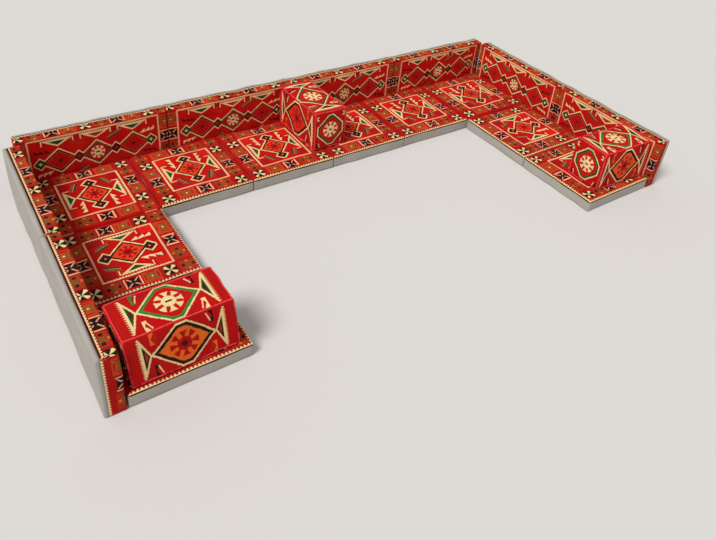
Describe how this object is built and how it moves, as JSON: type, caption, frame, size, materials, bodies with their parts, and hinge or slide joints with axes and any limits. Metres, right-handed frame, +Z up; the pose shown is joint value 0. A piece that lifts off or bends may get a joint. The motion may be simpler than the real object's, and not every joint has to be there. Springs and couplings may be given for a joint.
{
  "type": "majlis floor sofa",
  "caption": "Floor sofa of loose box cushions set out in a U: square kilim-topped seats, long back cushions standing on edge behind them, and bolster arm rests lying on the seats.",
  "frame": {"origin": "on the floor, in the middle of the footprint of the whole layout", "axes": "+X along the row of backs to the right as seen from the open front, +Y from the open front to that row, +Z up"},
  "size_m": [4.452, 2.2296, 0.4363],
  "materials": {
    "kilim_weave": "flat-woven wool",
    "bolster_weave": "flat-woven wool",
    "canvas": "plain cotton canvas",
    "foam": "cut polyurethane foam"
  },
  "bodies": {
    "row_seat_1": {"row_seat_1_foam": "foam", "row_seat_1_woven_top": "kilim_weave", "row_seat_1_canvas_base": "canvas"},
    "row_seat_2": {"row_seat_2_foam": "foam", "row_seat_2_woven_top": "kilim_weave", "row_seat_2_canvas_base": "canvas"},
    "row_seat_3": {"row_seat_3_foam": "foam", "row_seat_3_woven_top": "kilim_weave", "row_seat_3_canvas_base": "canvas"},
    "row_seat_4": {"row_seat_4_foam": "foam", "row_seat_4_woven_top": "kilim_weave", "row_seat_4_canvas_base": "canvas"},
    "row_seat_5": {"row_seat_5_foam": "foam", "row_seat_5_woven_top": "kilim_weave", "row_seat_5_canvas_base": "canvas"},
    "row_seat_6": {"row_seat_6_foam": "foam", "row_seat_6_woven_top": "kilim_weave", "row_seat_6_canvas_base": "canvas"},
    "left_seat_1": {"left_seat_1_foam": "foam", "left_seat_1_woven_top": "kilim_weave", "left_seat_1_canvas_base": "canvas"},
    "right_seat_1": {"right_seat_1_foam": "foam", "right_seat_1_woven_top": "kilim_weave", "right_seat_1_canvas_base": "canvas"},
    "left_seat_2": {"left_seat_2_foam": "foam", "left_seat_2_woven_top": "kilim_weave", "left_seat_2_canvas_base": "canvas"},
    "right_seat_2": {"right_seat_2_foam": "foam", "right_seat_2_woven_top": "kilim_weave", "right_seat_2_canvas_base": "canvas"},
    "row_back_1": {"row_back_1_foam": "foam", "row_back_1_woven_front": "kilim_weave", "row_back_1_canvas_rear": "canvas"},
    "row_back_2": {"row_back_2_foam": "foam", "row_back_2_woven_front": "kilim_weave", "row_back_2_canvas_rear": "canvas"},
    "row_back_3": {"row_back_3_foam": "foam", "row_back_3_woven_front": "kilim_weave", "row_back_3_canvas_rear": "canvas"},
    "row_back_4": {"row_back_4_foam": "foam", "row_back_4_woven_front": "kilim_weave", "row_back_4_canvas_rear": "canvas"},
    "left_back_1": {"left_back_1_foam": "foam", "left_back_1_woven_front": "kilim_weave", "left_back_1_canvas_rear": "canvas"},
    "right_back_1": {"right_back_1_foam": "foam", "right_back_1_woven_front": "kilim_weave", "right_back_1_canvas_rear": "canvas"},
    "left_back_2": {"left_back_2_foam": "foam", "left_back_2_woven_front": "kilim_weave", "left_back_2_canvas_rear": "canvas"},
    "right_back_2": {"right_back_2_foam": "foam", "right_back_2_woven_front": "kilim_weave", "right_back_2_canvas_rear": "canvas"},
    "left_arm": {"left_arm_foam": "foam", "left_arm_woven_cover": "bolster_weave"},
    "middle_arm": {"middle_arm_foam": "foam", "middle_arm_woven_cover": "bolster_weave"},
    "right_arm": {"right_arm_foam": "foam", "right_arm_woven_cover": "bolster_weave"}
  },
  "joints": [
    {"name": "row_seat_1_lift", "type": "slide", "parent": "row_seat_4", "child": "row_seat_1", "axis": [0, 0, 1], "range_m": [0, 0.3]},
    {"name": "row_seat_2_lift", "type": "slide", "parent": "row_seat_4", "child": "row_seat_2", "axis": [0, 0, 1], "range_m": [0, 0.3]},
    {"name": "row_seat_3_lift", "type": "slide", "parent": "row_seat_4", "child": "row_seat_3", "axis": [0, 0, 1], "range_m": [0, 0.3]},
    {"name": "row_seat_5_lift", "type": "slide", "parent": "row_seat_4", "child": "row_seat_5", "axis": [0, 0, 1], "range_m": [0, 0.3]},
    {"name": "row_seat_6_lift", "type": "slide", "parent": "row_seat_4", "child": "row_seat_6", "axis": [0, 0, 1], "range_m": [0, 0.3]},
    {"name": "left_seat_1_lift", "type": "slide", "parent": "row_seat_4", "child": "left_seat_1", "axis": [0, 0, 1], "range_m": [0, 0.3]},
    {"name": "right_seat_1_lift", "type": "slide", "parent": "row_seat_4", "child": "right_seat_1", "axis": [0, 0, 1], "range_m": [0, 0.3]},
    {"name": "left_seat_2_lift", "type": "slide", "parent": "row_seat_4", "child": "left_seat_2", "axis": [0, 0, 1], "range_m": [0, 0.3]},
    {"name": "right_seat_2_lift", "type": "slide", "parent": "row_seat_4", "child": "right_seat_2", "axis": [0, 0, 1], "range_m": [0, 0.3]},
    {"name": "row_back_1_lift", "type": "slide", "parent": "row_seat_4", "child": "row_back_1", "axis": [0, 0, 1], "range_m": [0, 0.45]},
    {"name": "row_back_2_lift", "type": "slide", "parent": "row_seat_4", "child": "row_back_2", "axis": [0, 0, 1], "range_m": [0, 0.45]},
    {"name": "row_back_3_lift", "type": "slide", "parent": "row_seat_4", "child": "row_back_3", "axis": [0, 0, 1], "range_m": [0, 0.45]},
    {"name": "row_back_4_lift", "type": "slide", "parent": "row_seat_4", "child": "row_back_4", "axis": [0, 0, 1], "range_m": [0, 0.45]},
    {"name": "left_back_1_lift", "type": "slide", "parent": "row_seat_4", "child": "left_back_1", "axis": [0, 0, 1], "range_m": [0, 0.45]},
    {"name": "right_back_1_lift", "type": "slide", "parent": "row_seat_4", "child": "right_back_1", "axis": [0, 0, 1], "range_m": [0, 0.45]},
    {"name": "left_back_2_lift", "type": "slide", "parent": "row_seat_4", "child": "left_back_2", "axis": [0, 0, 1], "range_m": [0, 0.45]},
    {"name": "right_back_2_lift", "type": "slide", "parent": "row_seat_4", "child": "right_back_2", "axis": [0, 0, 1], "range_m": [0, 0.45]},
    {"name": "left_arm_lift", "type": "slide", "parent": "left_seat_2", "child": "left_arm", "axis": [0, 0, 1], "range_m": [0, 0.35]},
    {"name": "middle_arm_lift", "type": "slide", "parent": "row_seat_3", "child": "middle_arm", "axis": [0, 0, 1], "range_m": [0, 0.35]},
    {"name": "right_arm_lift", "type": "slide", "parent": "right_seat_2", "child": "right_arm", "axis": [0, 0, 1], "range_m": [0, 0.35]}
  ]
}
